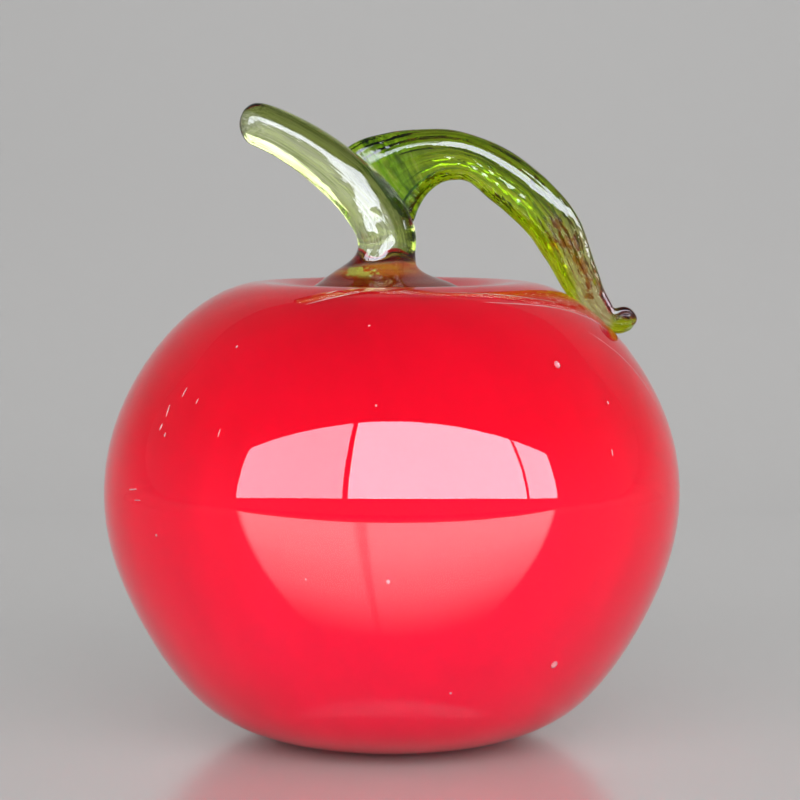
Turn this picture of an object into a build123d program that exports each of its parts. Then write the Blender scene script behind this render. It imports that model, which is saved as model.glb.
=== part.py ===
from build123d import *
import os
from math import cos, pi, sin

# Hand-worked glass apple, in millimetres: X to the right, Y away from the viewer, Z up.
# The origin is on the resting plane, under the middle of the body.

# The body's outside
BODY_RADIUS = 69.0
CREST_HEIGHT = 109.2
CREST_RADIUS = 31.7
DIMPLE_DEPTH = 12.0
BASE_RADIUS = 22.0
PONTIL_RADIUS = 14.0
PONTIL_DEPTH = 1.5
BLOW_HOLE_RADIUS = 4.0

# The walls of its three layers of glass
CASING_WALL = 3.0
RED_WALL = 1.2
OPAL_WALL = 1.5

# The stem: a bent rod that leans to the left, with a flared foot in the dimple
NECK_OFFSET = 1.2
STEM_REACH = 34.7
STEM_RISE = 38.4
STEM_WIDTH = 14.3
STEM_DEPTH = 12.4
FOOT_RADIUS = 19.5
FOOT_RISE = 7.5
FOOT_LEAN = 2.6

# The leaf: a ribbed blade that arches to the right and lies down on the shoulder
LEAF_RISE = 30.0
LEAF_ROOT_HEIGHT = 23.4
LEAF_HEIGHT = 12.0
LEAF_THICKNESS = 7.0
RIB_COUNT = 18
RIB_DEPTH = 0.5
LANDING_LIFT = 3.2
TIP_LIFT = 1.3
BEAD_RADIUS = 2.8
BEAD_LIFT = 4.0

# Side of the body: out from the base ring to the widest level, and up to the crest
LOWER_SIDE_SHARES = [(0.0, 0.0), (0.243, 0.022), (0.472, 0.0705), (0.685, 0.1685), (0.847, 0.2866),
                     (0.964, 0.4185), (1.0, 0.54)]
# Shoulder of the body: out from the crest to the widest level, and up to the crest
SHOULDER_SHARES = [(0.954, 0.662), (0.78, 0.7985), (0.512, 0.913), (0.2815, 0.971), (0.0, 1.0)]
# Dimple: out from the blow hole to the crest, and down from the crest
DIMPLE_SHARES = [(0.65, 0.125), (0.469, 0.29), (0.325, 0.583), (0.144, 0.883), (0.0, 1.0)]
# Places along the outside at which each inner layer is measured off
LAYER_PLACE_SHARES = [0.04 * step for step in range(1, 26)]

# Middle line of the stem: along its reach, up its rise
STEM_LINE_SHARES = [(0.01, 0.0), (0.0, 0.165), (0.066, 0.405), (0.262, 0.622), (0.637, 0.873),
                    (0.888, 0.98), (1.0, 1.0)]
# Size of the stem along its line: place, size
STEM_SIZE_SHARES = [(0.0, 1.1), (0.11, 1.0), (0.3, 0.97), (0.47, 0.89), (0.6, 0.8), (0.73, 0.76),
                    (0.87, 0.72), (0.95, 0.68), (0.985, 0.56), (1.0, 0.34)]
# Near half of the stem's section, with a long ridge at each rounded corner: up its width, out its depth
STEM_SECTION_SHARES = [(0.98, 0.2), (0.52, 0.8), (0.24, 0.97), (-0.42, 0.93), (-0.74, 0.7), (-0.98, 0.2)]
# Foot above the crest: up its rise, out to its radius, part of its lean to the left
FOOT_SIZE_SHARES = [(-0.4, 1.0, 0.85), (0.0, 0.785, 1.0), (0.17, 0.65, 1.4), (0.4, 0.51, 1.4),
                    (0.64, 0.425, 0.95), (0.97, 0.36, 0.6), (1.25, 0.3, 0.5)]

# One rib, from groove to groove: along its pitch, down its depth
RIB_OUTLINE_SHARES = [(0.0, 1.0), (0.33, 0.0), (0.67, 0.0)]
# Where the leaf grows from the stem's line, and where it lies on the outside of the body
LEAF_ROOT_SHARE = 0.38
LANDING_SHARE = 0.75
TIP_SHARE = 0.69
# Middle line of the leaf between root and landing: along its span, up its rise
LEAF_LINE_SHARES = [(0.216, 0.928), (0.418, 1.0), (0.584, 0.873), (0.75, 0.633), (0.876, 0.353),
                    (0.953, 0.073)]
# Size of the leaf along its line: place, height, part of the root fan, thickness
LEAF_SIZE_SHARES = [(0.0, 1.0, 1.0, 1.15), (0.085, 1.0, 0.72, 1.1), (0.168, 1.0, 0.42, 1.05),
                    (0.245, 1.0, 0.07, 1.0), (0.32, 0.95, 0.0, 1.0), (0.42, 0.98, 0.0, 1.0),
                    (0.55, 1.01, 0.0, 0.97), (0.66, 0.96, 0.0, 0.91), (0.74, 0.85, 0.0, 0.85),
                    (0.8, 0.74, 0.0, 0.79), (0.863, 0.6, 0.0, 0.7), (0.922, 0.44, 0.0, 0.56),
                    (0.973, 0.29, 0.0, 0.42), (1.0, 0.22, 0.0, 0.34)]


def outer_curve():
    """Outside of the body in the XZ plane, from the base ring over the crest to the blow hole."""
    points = [(BASE_RADIUS + out * (BODY_RADIUS - BASE_RADIUS), 0, up * CREST_HEIGHT)
              for out, up in LOWER_SIDE_SHARES]
    points += [(CREST_RADIUS + out * (BODY_RADIUS - CREST_RADIUS), 0, up * CREST_HEIGHT)
               for out, up in SHOULDER_SHARES]
    points += [(BLOW_HOLE_RADIUS + out * (CREST_RADIUS - BLOW_HOLE_RADIUS), 0,
                CREST_HEIGHT - down * DIMPLE_DEPTH) for out, down in DIMPLE_SHARES]
    return Spline(*points)


def outward(curve, place):
    """Unit vector out of the glass, square to the curve."""
    along = curve % place
    return Vector(along.Z, 0, -along.X)


def layer_curve(depth):
    """Surface that lies a depth of glass under the outside, from the middle of the floor to the hole."""
    outside = outer_curve()
    points = [Vector(0, 0, PONTIL_DEPTH + depth)]
    points += [outside @ place - outward(outside, place) * depth for place in LAYER_PLACE_SHARES]
    points[-1] = Vector(BLOW_HOLE_RADIUS, 0, points[-1].Z)
    return Spline(*points)


def ring_solid(outline):
    """Solid turned about the upright axis from a closed outline in the XZ plane."""
    return revolve(make_face(outline), Axis.Z)


def clear_casing(inside):
    """Outer gather: its outside has the ground ring and the polished pontil dish."""
    outside = outer_curve()
    middle = (0, 0, PONTIL_DEPTH)
    rim = (PONTIL_RADIUS, 0, 0)
    dish = TangentArc(middle, rim, tangent=(1, 0, 0))
    ring = Line(rim, outside @ 0)
    mouth = Line(outside @ 1, inside @ 1)
    axis = Line(middle, inside @ 0)
    return ring_solid([dish, ring, outside, mouth, inside, axis])


def inner_layer(outside, inside):
    """Shell between two layer curves, open at the blow hole."""
    mouth = Line(outside @ 1, inside @ 1)
    axis = Line(outside @ 0, inside @ 0)
    return ring_solid([outside, mouth, inside, axis])


def body_block():
    """Whole room of the body, bored through at the blow hole, which the stem and leaf are cut by."""
    outside = outer_curve()
    top = outside @ 1
    bore_foot = (BLOW_HOLE_RADIUS, 0, 0)
    return ring_solid([Line(bore_foot, outside @ 0), outside, Line(top, bore_foot)])


def stem_line():
    """Middle line of the stem, from the neck of the foot to the tip."""
    points = [(-NECK_OFFSET - along * STEM_REACH, 0, CREST_HEIGHT + up * STEM_RISE)
              for along, up in STEM_LINE_SHARES]
    return Spline(*points)


def stem_section(line, place, size):
    """Ridged section square to the stem's line."""
    plane = Plane(origin=line @ place, x_dir=(0, 1, 0), z_dir=line % place)
    near = [(-out * STEM_DEPTH / 2 * size, -up * STEM_WIDTH / 2 * size) for up, out in STEM_SECTION_SHARES]
    far = [(-x, y) for x, y in reversed(near)]
    return plane * make_face(Spline(*near, *far, periodic=True))


def stem_foot():
    """Flared foot that fills the dimple and draws in to the neck of the stem."""
    floor_lean = FOOT_SIZE_SHARES[0][2]
    rings = [Pos(-FOOT_LEAN * floor_lean, 0, CREST_HEIGHT - DIMPLE_DEPTH) * Circle(FOOT_RADIUS)]
    rings += [Pos(-FOOT_LEAN * lean, 0, CREST_HEIGHT + up * FOOT_RISE) * Circle(out * FOOT_RADIUS)
              for up, out, lean in FOOT_SIZE_SHARES]
    return loft(rings)


def stem_plug():
    """Plug that closes the blow hole through the three layers."""
    wall = CASING_WALL + RED_WALL + OPAL_WALL
    plug = Cylinder(BLOW_HOLE_RADIUS, wall * 2, align=(Align.CENTER, Align.CENTER, Align.MIN))
    return Pos(0, 0, CREST_HEIGHT - DIMPLE_DEPTH - wall) * plug


def stem(block):
    """Rod, foot and plug in one piece, seated in the dimple."""
    line = stem_line()
    rod = loft([stem_section(line, place, size) for place, size in STEM_SIZE_SHARES])
    return rod + stem_foot() + stem_plug() - block


def leaf_line(stem_middle):
    """Middle line of the leaf, from inside the stem over the arch to the shoulder."""
    outside = outer_curve()
    root = stem_middle @ LEAF_ROOT_SHARE
    landing = outside @ LANDING_SHARE + outward(outside, LANDING_SHARE) * LANDING_LIFT
    tip = outside @ TIP_SHARE + outward(outside, TIP_SHARE) * TIP_LIFT
    arch = [(root.X + along * (landing.X - root.X), 0, CREST_HEIGHT + up * LEAF_RISE)
            for along, up in LEAF_LINE_SHARES]
    return Spline(root, *arch, landing, tip)


def leaf_section(line, place, height, thickness):
    """Ribbed oval section square to the leaf's line."""
    plane = Plane(origin=line @ place, x_dir=(0, 1, 0), z_dir=line % place)
    groove_depth = RIB_DEPTH * min(1, height / LEAF_HEIGHT)
    points = []
    for rib in range(RIB_COUNT):
        for along, down in RIB_OUTLINE_SHARES:
            angle = 2 * pi * (rib + along) / RIB_COUNT
            groove = groove_depth * down
            points.append(((thickness / 2 - groove) * cos(angle), (height / 2 - groove) * sin(angle)))
    return plane * make_face(Polyline(*points, close=True))


def leaf(block, stem_solid):
    """Ribbed blade with a fanned root, a drawn tail that lies on the shoulder, and a curled bead."""
    line = leaf_line(stem_line())
    sections = []
    for place, height_share, fan_share, thickness_share in LEAF_SIZE_SHARES:
        height = LEAF_HEIGHT * height_share + (LEAF_ROOT_HEIGHT - LEAF_HEIGHT) * fan_share
        sections.append(leaf_section(line, place, height, LEAF_THICKNESS * thickness_share))
    blade = loft(sections)
    outside = outer_curve()
    bead = Pos(outside @ TIP_SHARE + outward(outside, TIP_SHARE) * BEAD_LIFT) * Sphere(BEAD_RADIUS)
    return blade + bead - block - stem_solid


def build():
    """All pieces by name."""
    casing_inside = layer_curve(CASING_WALL)
    red_inside = layer_curve(CASING_WALL + RED_WALL)
    opal_inside = layer_curve(CASING_WALL + RED_WALL + OPAL_WALL)
    block = body_block()
    stem_solid = stem(block)
    return {
        "clear_casing": clear_casing(casing_inside),
        "red_layer": inner_layer(casing_inside, red_inside),
        "opal_liner": inner_layer(red_inside, opal_inside),
        "stem": stem_solid,
        "leaf": leaf(block, stem_solid),
    }


os.makedirs("parts", exist_ok=True)
for name, solid in build().items():
    export_step(solid, f"parts/{name}.step")
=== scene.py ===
import math

import bmesh
import bpy
import numpy as np
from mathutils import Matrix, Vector


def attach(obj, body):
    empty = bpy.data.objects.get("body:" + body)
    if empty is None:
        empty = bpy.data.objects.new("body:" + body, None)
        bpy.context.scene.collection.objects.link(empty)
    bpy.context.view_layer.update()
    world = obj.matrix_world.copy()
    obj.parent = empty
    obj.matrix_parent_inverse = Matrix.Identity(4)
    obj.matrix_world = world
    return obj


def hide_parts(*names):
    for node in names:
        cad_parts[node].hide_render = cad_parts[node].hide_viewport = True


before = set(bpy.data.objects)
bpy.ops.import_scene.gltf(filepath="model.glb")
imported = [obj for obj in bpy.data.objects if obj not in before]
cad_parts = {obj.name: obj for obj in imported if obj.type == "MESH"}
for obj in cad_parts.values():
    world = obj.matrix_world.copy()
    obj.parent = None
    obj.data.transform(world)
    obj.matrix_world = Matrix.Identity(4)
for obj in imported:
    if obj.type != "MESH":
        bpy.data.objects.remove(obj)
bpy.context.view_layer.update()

# Lengths are in millimetres and are turned into metres where the meshes are made. X runs to the right, Y
# away from the camera, Z up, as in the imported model. A wave is its size, how often it goes round, its turn
# in radians per millimetre or per whole length along, and its start in radians.
MM = 0.001
# Materials measure along the forms in centimetres.
MM_PER_CM = 10
CM_PER_M = 100

# Camera
CAMERA_PLACE = (1.96, -600, 134.2)
CAMERA_DOWN = 5.083
CAMERA_LENS = 113.1
CAMERA_SENSOR = 36
# Nearest and furthest that the camera sees, in metres
CAMERA_REACH = (0.01, 50)

# Outside of the body: radius and height
OUTSIDE = [
    (22, 0), (33.42, 2.4), (44.18, 7.7), (54.2, 18.4), (61.81, 31.3), (67.31, 45.7), (69, 58.97),
    (67.28, 72.29), (60.79, 87.2), (50.8, 99.7), (42.2, 106.03), (31.7, 109.2), (22, 107.7),
    (16.99, 105.72), (13, 102.2), (7.99, 98.6), (4, 97.2)]
PONTIL_RADIUS = 14
PONTIL_DEPTH = 1.5
HOLE_RADIUS = 4
CASING_WALL = 3
RED_WALL = 1.2
# Steps in which the outside is worked out, and places along it where an inner layer is measured off
OUTSIDE_STEPS = 2000
LAYER_PLACES = 25
# Share of the radius that the hand-blown form keeps, and its waves
BLOWN_SHARE = 0.9978
BLOWN_WAVES = [(0.0009, 2, 0, 0.8), (0.0005, 3, 0, 2.1), (0.0005, 2, 1 / 11, 0),
               (0.0003, -3, 1 / 6, 1)]
# Rings of the casing's pontil dish, outside and inside, radii of those on its ground face, and points round
DISH_RINGS = 12
OUTSIDE_RINGS = 226
INSIDE_RINGS = 70
GROUND_RADII = [PONTIL_RADIUS + 0.3, 16, 19, 21.5]
CASING_AROUND = 272
# Rings of the red core's outside and inside, and points round
CORE_RINGS = (200, 60)
CORE_AROUND = 224
# The cutter for what is fused on the body: outer radius and height of its floor, the step of the outside
# where it starts, steps from ring to ring, and points round
CUTTER_FLOOR = (55, 60)
CUTTER_START = 800
CUTTER_STEP = 4
CUTTER_AROUND = 256
# How far two fused pieces reach into each other, so that no air film shows between them
FUSED = 0.08
# Corners closer than this are one after a cut
WELD = 0.0005
# Height up to which painted shade darkens the red, darkest there
RED_SHADE_TOP = 110
# Edges that turn more than this are sharp, in degrees
SHARP_TURN = 50

# Stem: middle x, middle z, lean to the left in degrees, half width, half depth, share of its section that
# isn't round, and which of the sections it has, counted from 0 and mixed in between
STEM_STATIONS = [
    (-0.9, 94, 0, 20.4, 20.4, 0, 2), (-2.2, 104.2, 0, 20.2, 20.2, 0, 2), (-2.2, 106.6, 0, 19.2, 19.2, 0, 2),
    (-2.6, 109.2, 0, 15.3, 14.2, 0, 2), (-3.4, 110.7, 0, 12.3, 10.6, 0, 2),
    (-3.3, 112.3, 0, 9.8, 8.2, 0.2, 2), (-2.2, 114, 0, 8.2, 6.3, 0.5, 2.6),
    (-1.35, 115.9, 0, 7.25, 5.9, 0.8, 2.95), (-1.1, 119, 2, 7.05, 6.1, 0.95, 3),
    (-1.45, 120.9, 5.5, 7.07, 6.6, 1, 3), (-2, 122.6, 10, 7.1, 6.5, 1, 2.95),
    (-4.3, 126.6, 25, 6.9, 6.15, 1, 2.1), (-8.4, 131.2, 42, 6.45, 5.8, 1, 1.3),
    (-14, 136.3, 51, 6.05, 5.5, 1, 0.4), (-20.3, 140.8, 56, 5.65, 5.2, 1, 0),
    (-26.3, 144.3, 61, 5.35, 4.9, 1, 0), (-30.7, 146.25, 66, 5.2, 4.7, 0.9, 0),
    (-32.6, 146.85, 74, 4.95, 4.4, 0.75, 0), (-33.9, 147.1, 79, 4.4, 3.9, 0.6, 0),
    (-34.9, 147.1, 83, 3.5, 3.1, 0.5, 0), (-35.6, 147, 85, 2.4, 2.2, 0.4, 0),
    (-36, 146.9, 86, 1.3, 1.2, 0.3, 0)]
STEM_END = (-0.9, 0, 91.6)
STEM_TIP = (-36.2, 0, 146.9)
# The stem's sections round the rod, towards the top edge and towards the viewer: ridged, broad-faced, and
# two with one wide facet to the right, the last one steeper
STEM_SECTIONS = [
    [(0.985, 0.2), (0.88, 0.46), (0.7, 0.69), (0.5, 0.86), (0.4, 0.93), (0.31, 0.972), (0.23, 0.985),
     (0.1, 0.98), (-0.2, 0.935), (-0.5, 0.85), (-0.75, 0.68), (-0.98, 0.22), (-0.98, -0.22), (-0.75, -0.7),
     (-0.25, -0.955), (0.28, -0.98), (0.7, -0.69), (0.985, -0.2)],
    [(0.985, 0.2), (0.89, 0.5), (0.74, 0.71), (0.58, 0.845), (0.47, 0.9), (0.3, 0.945), (0.1, 0.975),
     (-0.1, 0.985), (-0.3, 0.965), (-0.55, 0.87), (-0.78, 0.66), (-0.98, 0.22), (-0.98, -0.22),
     (-0.78, -0.66), (-0.3, -0.965), (0.3, -0.945), (0.74, -0.71), (0.985, -0.2)],
    [(0.98, -0.04), (0.9, 0.14), (0.6, 0.49), (0.35, 0.74), (0.22, 0.84), (0.1, 0.9), (-0.1, 0.95),
     (-0.35, 0.99), (-0.5, 0.985), (-0.6, 0.92), (-0.74, 0.75), (-0.9, 0.42), (-1, 0.05), (-0.93, -0.42),
     (-0.6, -0.84), (-0.1, -0.98), (0.4, -0.94), (0.75, -0.76), (0.93, -0.46)],
    [(0.98, -0.3), (0.9, -0.05), (0.6, 0.22), (0.3, 0.47), (0, 0.72), (-0.2, 0.89), (-0.3, 0.955),
     (-0.45, 0.99), (-0.6, 0.985), (-0.72, 0.91), (-0.84, 0.7), (-0.95, 0.4), (-1, 0.05), (-0.93, -0.42),
     (-0.6, -0.84), (-0.1, -0.98), (0.4, -0.94), (0.75, -0.78), (0.93, -0.54)]]
# Steps in which a section is worked out, and the most of a section that is mixed with the one before
SECTION_STEPS = 400
MOST_MIXED = 0.999
# Swelling on the front of the neck: its middle x and z, half width and height, and how far it stands out
SWELLING_PLACE = (0.9, 113.7)
SWELLING_SIZE = (2.4, 3)
SWELLING_HEIGHT = 1.8
# Pale window in the front of the foot: its middles in centimetres, their axes' stretch, and its size
WINDOW = [(-0.86, -0.80, 11.18), (-0.62, -0.95, 11.08)]
WINDOW_STRETCH = (1, 0.5, 1.4)
WINDOW_SIZE = 0.24
# The foot's drapes fade out from its lower part to this height
FOOT_TOP = 118
FOOT_HEIGHT = 9
FOOT_WAVES = [(0.028, 3, 0, 0.6), (0.024, 5, 0, 2)]
STEM_WAVES = [(0.012, 2, 1 / 3.1, 0), (0.008, -1, 1 / 1.7, 0)]
# Least half width and depth of the cutter that has the stem's form
LEAST_HALF = 0.05
STEM_AROUND = 112
STEM_RINGS = 300
# Length of the stem over which its colours are placed, in centimetres
STEM_LENGTH = 4

# Leaf: upper edge x and z, lower edge x and z, half thickness
LEAF_STATIONS = [
    (-13, 138.6, 0, 124.5, 4.2), (-10.2, 141.3, 4.4, 122.9, 4), (-6.6, 143.1, 6, 125.6, 3.9),
    (-2.4, 144.2, 7.5, 128.7, 3.8), (2.6, 145.1, 9.4, 131, 3.7), (8, 145.4, 12, 132.7, 3.6),
    (13.5, 145.3, 15.2, 133.4, 3.55), (19.4, 144, 18.4, 132.8, 3.5), (25, 141.8, 21.8, 130.1, 3.45),
    (30.4, 138.7, 25.6, 127, 3.4), (35.4, 134.8, 29.4, 123.7, 3.3), (39.9, 130.3, 32.8, 120.2, 3.2),
    (43.4, 125.8, 35.6, 116.3, 3), (45.8, 120.8, 38.3, 112.2, 2.8), (47.4, 116, 40.6, 108, 2.5),
    (49, 111.6, 43.4, 104.4, 2.2), (50.7, 107.1, 46.6, 101.6, 1.95), (52.3, 104, 49.6, 99, 1.8),
    (53, 103, 51.5, 97.5, 1.8), (53.9, 103.1, 53.3, 96.8, 2.2), (54.9, 103.3, 54.8, 96.7, 2.65),
    (56, 103.2, 56.2, 97.1, 2.8), (57.1, 102.7, 57.4, 97.9, 2.6), (57.9, 101.9, 58.1, 98.9, 2.1),
    (58.35, 101.1, 58.5, 99.7, 1.3), (58.55, 100.6, 58.6, 100.2, 0.4)]
# Near half of the leaf's section, towards the upper edge and towards the viewer
LEAF_NEAR = [(0.98, 0.28), (0.87, 0.57), (0.72, 0.765), (0.6, 0.88), (0.53, 0.935), (0.46, 0.966),
             (0.4, 0.981), (0.34, 0.986), (0.1, 0.972), (-0.1, 0.95), (-0.35, 0.91), (-0.6, 0.84),
             (-0.85, 0.58), (-0.98, 0.26)]
# The same at the leaf's root, with a sharper ridge
ROOT_NEAR = [(0.98, 0.25), (0.88, 0.47), (0.7, 0.72), (0.53, 0.925), (0.47, 0.975), (0.43, 0.988),
             (0.3, 0.985), (0, 0.955), (-0.35, 0.9), (-0.6, 0.84), (-0.85, 0.58), (-0.98, 0.26)]
# The rounder far half of both
LEAF_FAR = [(-0.97, -0.32), (-0.8, -0.66), (-0.45, -0.92), (0, -1), (0.45, -0.92), (0.8, -0.66),
            (0.97, -0.32)]
# Share of the leaf's length where the root's section has given way to the blade's, and over how much
ROOT_END = 0.30
ROOT_FADE = 0.18
# The ribs are this deep where half the leaf's height is at least this much, and keep little in the tail
LEAF_RIBS = 26
RIB_DEPTH = 0.5
RIB_WHOLE = 6
RIB_LOSS = 0.9
RIB_LOSS_START = 0.7
RIB_LOSS_REACH = 0.2
RIB_WAVES = [(0.25, 3, 9, 0), (0.12, 7, -31, 0)]
LEAF_WAVES = [(0.05, 2, 23, 0), (0.025, -3, 61, 0)]
# Share of the ribs' depth on the near side, which is smooth enough for one long highlight, and the part of
# the section towards the viewer over which they fade
NEAR_RIBS = 0.06
NEAR_START = -0.25
NEAR_REACH = 0.5
# Past this share of its length the leaf leans over towards the viewer at its upper edge, up to this slope
LEAN_START = 0.50
LEAN_END = 0.64
LEAN_SLOPE = 0.5
# The leaf's root sits this far behind the stem's middle, and comes forward over this share of its length
ROOT_BACK = 5
ROOT_FORWARD = 0.34
LEAF_TWIST = 0.55
# Length of the leaf's grain in centimetres, and its red-brown flecks: along, up, and to the viewer
LEAF_LENGTH = 8.58
FLECKS = [
    (5.74, -0.06, 0.95), (5.86, 0.16, 0.97), (6, 0.46, 0.97), (5.34, 0.18, 0.97), (6.5, 0.36, 0.97),
    (6.66, 0.34, 0.97), (6.95, 0.2, 0.97), (5.6, -0.2, -0.9), (6.3, 0.4, -0.9), (7.2, 0.1, -0.9)]
FLECK_STRETCH = (1, 0.7, 0.35)
FLECK_SIZE = 0.17
LEAF_AROUND = 208
LEAF_RINGS = 330
# The bead at the leaf's end: its middle x and z, and the radius, half width and depth of the curl's crease
BEAD_MIDDLE = (55.7, 100.1)
CURL_RADIUS = 1.75
CURL_HALF_WIDTH = 0.4
CURL_DEPTH = 0.45
# How fast the crease opens upwards from the middle, how much it leans to the right, and its depth there
CURL_OPENING = 1.6
CURL_LEAN = 0.6
CURL_MIDDLE = 0.6

# Seeds in the casing: degrees round from the front, height, depth, half length, half width, lean in degrees
SEEDS = [
    (41, 92.9, 1.3, 0.95, 0.8, 10), (-0.5, 47.5, 1.2, 0.5, 0.42, 0), (39.5, 24.8, 2, 0.95, 0.85, 0),
    (-59.3, 63.6, 1.2, 1.9, 0.2, 82), (-57.4, 61.4, 1.6, 1.5, 0.14, 84), (-49.8, 86.4, 1.2, 1.3, 0.2, 8),
    (-44.7, 84.8, 1.5, 0.7, 0.16, 10), (-52.9, 82, 1.2, 1.5, 0.2, -8), (-53.5, 78.4, 1.5, 0.9, 0.24, 12),
    (-51.2, 76.9, 1.4, 0.5, 0.26, 0), (-36, 78.5, 1.6, 0.9, 0.14, 4), (-40.5, 96.8, 1.4, 0.32, 0.26, 0),
    (-3, 85.5, 1.5, 0.3, 0.26, 0), (-50.7, 54.2, 1.5, 0.3, 0.3, 0), (-16, 47.5, 1.6, 0.26, 0.22, 0),
    (-5.8, 102.1, 1.4, 0.3, 0.2, 60), (47.9, 73.2, 1.3, 0.8, 0.16, 6), (52, 84, 1.8, 0.4, 0.3, 20),
    (118, 70, 1.4, 0.7, 0.5, 20), (141, 91, 1.3, 1.2, 0.22, 14), (163, 44, 1.6, 0.5, 0.45, 0),
    (196, 78, 1.3, 1.5, 0.2, 86), (214, 58, 1.5, 0.6, 0.5, 0), (236, 96, 1.3, 0.9, 0.3, 30),
    (248, 36, 1.7, 0.8, 0.7, 0), (263, 71, 1.4, 0.5, 0.4, 10), (92, 52, 1.5, 0.4, 0.36, 0),
    (78, 31, 1.7, 0.5, 0.4, 0), (176, 101, 1.2, 0.4, 0.3, 0), (14, 20, 1.8, 0.3, 0.3, 0)]
# Steps of a seed from end to end, and points round
SEED_STEPS = 9
SEED_AROUND = 14
# Drawn swirls in the casing: points of degrees round and height, depth, half width
SWIRLS = [([(-27.2, 106), (-18.8, 107.6), (-10.4, 108.7)], 1, 0.16),
          ([(-23.5, 108.2), (-20.6, 108.8)], 1.1, 0.22),
          ([(14.4, 108.6), (40.2, 107.8), (65.7, 105.2)], 1.3, 0.12),
          ([(30, 106.6), (52, 105.2), (70, 102), (82, 97)], 1.5, 0.13),
          ([(62, 99), (72, 91), (78, 80)], 1.3, 0.1),
          ([(120, 106.5), (150, 107.6), (190, 106)], 1.2, 0.13),
          ([(215, 104), (240, 106.4), (262, 107.4)], 1.3, 0.12)]
# Rings of a swirl with its two ends, and points round
SWIRL_STEPS = 34
SWIRL_AROUND = 8

# Tilts of what faces sideways and up
UPRIGHT = 90
FACE_UP = 180
# Turn of the lamp on the right towards the object
SIDEWAYS = 90
# Softbox in front of the object: left and right edges of its panels, their shares of its light in the room
# and in reflections, their lower and upper edge, and their place
BOX_EDGES = [(-2200, -395), (-345, 1550), (1620, 2700)]
BOX_SHARES = [0.85, 1, 1.3]
GLINT_SHARES = [0.72, 1, 0.88]
BOX_LOW = 200
BOX_HIGH = 1240
BOX_PLACE = -1200
BOX_LIGHT = 4.3
GLINT_LIGHT = 15.5
# The panels that only show in reflections stand this far in front of those that light the object
GLINT_STEP = 12
GLINT_COLOUR = (0.82, 0.84, 1)
# Lamp over the backdrop alone: place, tilt in degrees, width and height, light
WALL_LAMP_PLACE = (0, 700, 1500)
WALL_LAMP_TILT = 56
WALL_LAMP_SIZE = (1600, 500)
WALL_LAMP_LIGHT = 2.5
# Lamps at both sides: place of the right one, width and height, light of the right and the left one
FILL_PLACE = (1500, 0, 450)
FILL_SIZE = (900, 1100)
FILL_LIGHT = (1.7, 1.2)
# Lamps above and behind, and their light on the body and on the stem
BACK_PLACE = (0, 1000, 900)
BACK_TILT = -50.6
BACK_SIZE = (1600, 700)
BACK_LIGHT = (3.6, 1.3)
# The floor's glow in reflections: where it starts in front, its sides per distance from there, its length
GLOW_START = 62
GLOW_SIDES = (-1.95, 2.35)
GLOW_LENGTH = 740
GLOW_HEIGHT = 1
GLOW_LIGHT = 5
# The glow from side to side, with one bar in it, and from front to back: shares of the way and of the light
GLOW_PANES = [(0, 0), (0.05, 1), (0.388, 1), (0.398, 0.55), (0.408, 0.55), (0.418, 1),
              (0.95, 1), (1, 0)]
GLOW_FADE = [(0.03, 0), (0.08, 0.5), (0.18, 0.85), (0.4, 1), (0.9, 1), (1, 0)]
# The world's light from the horizon to straight above
SKY = [(0, 0.30), (0.25, 0.26), (0.6, 0.18), (1, 0.14)]
# Places of the flat floor from front to back, its half width, where it starts to rise behind the object,
# radius, first angle in radians and steps of its sweep, and the top of the wall that it turns into
FLOOR_PLACES = [-3000, -1000, 0]
FLOOR_HALF_WIDTH = 3500
SWEEP_START = 400
SWEEP_RADIUS = 1800
SWEEP_FIRST = 0.03
SWEEP_STEPS = 40
WALL_TOP = 2600


def smooth_curve(rows, count):
    """Evenly spaced rows on a natural cubic through the given ones, whose first two columns are a place."""
    rows = np.asarray(rows, float)
    gap = np.linalg.norm(np.diff(rows[:, :2], axis=0), axis=1)
    place = np.concatenate([[0.0], np.cumsum(gap)])
    last = len(rows) - 1
    system = np.eye(last + 1)
    bend = np.zeros_like(rows)
    for i in range(1, last):
        system[i, i - 1:i + 2] = gap[i - 1], 2 * (gap[i - 1] + gap[i]), gap[i]
        bend[i] = 6 * ((rows[i + 1] - rows[i]) / gap[i] - (rows[i] - rows[i - 1]) / gap[i - 1])
    bend = np.linalg.solve(system, bend)
    spots = np.linspace(0.0, place[-1], count)
    k = np.clip(np.searchsorted(place, spots, side="right") - 1, 0, last - 1)
    left = (spots - place[k])[:, None]
    right = (place[k + 1] - spots)[:, None]
    h = gap[k][:, None]
    cubic = (bend[k] * right ** 3 + bend[k + 1] * left ** 3) / (6 * h)
    return cubic + (rows[k] / h - bend[k] * h / 6) * right + (rows[k + 1] / h - bend[k + 1] * h / 6) * left


def clamped(value):
    return min(max(value, 0.0), 1.0)


def unit(rows):
    """Rows of length 1 in the same directions."""
    return rows / np.linalg.norm(rows, axis=1)[:, None]


def angles(count):
    """Even angles of one full turn."""
    return np.linspace(0.0, 2 * math.pi, count, endpoint=False)


def waves(table, angle, along=0.0):
    """Sum of the waves at an angle round a form and a place along it."""
    return sum(size * np.sin(turns * angle + rise * along + start) for size, turns, rise, start in table)


def sweep_faces(rings, around):
    """Quads between rings of vertices that follow each other."""
    ring, spot = np.meshgrid(np.arange(rings - 1), np.arange(around), indexing="ij")
    a = ring * around + spot
    b = ring * around + (spot + 1) % around
    return np.stack([a, b, b + around, a + around], axis=-1).reshape(-1, 4).tolist()


def cap(start, around, pole, forward):
    """Triangles from a ring to its pole."""
    sides = [(start + i, start + (i + 1) % around) for i in range(around)]
    return [(a, b, pole) if forward else (b, a, pole) for a, b in sides]


def line_distance(stations):
    """Distance of each station along their line, in millimetres."""
    return np.concatenate([[0.0], np.cumsum(np.linalg.norm(np.diff(stations[:, :2], axis=0), axis=1))])


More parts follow.
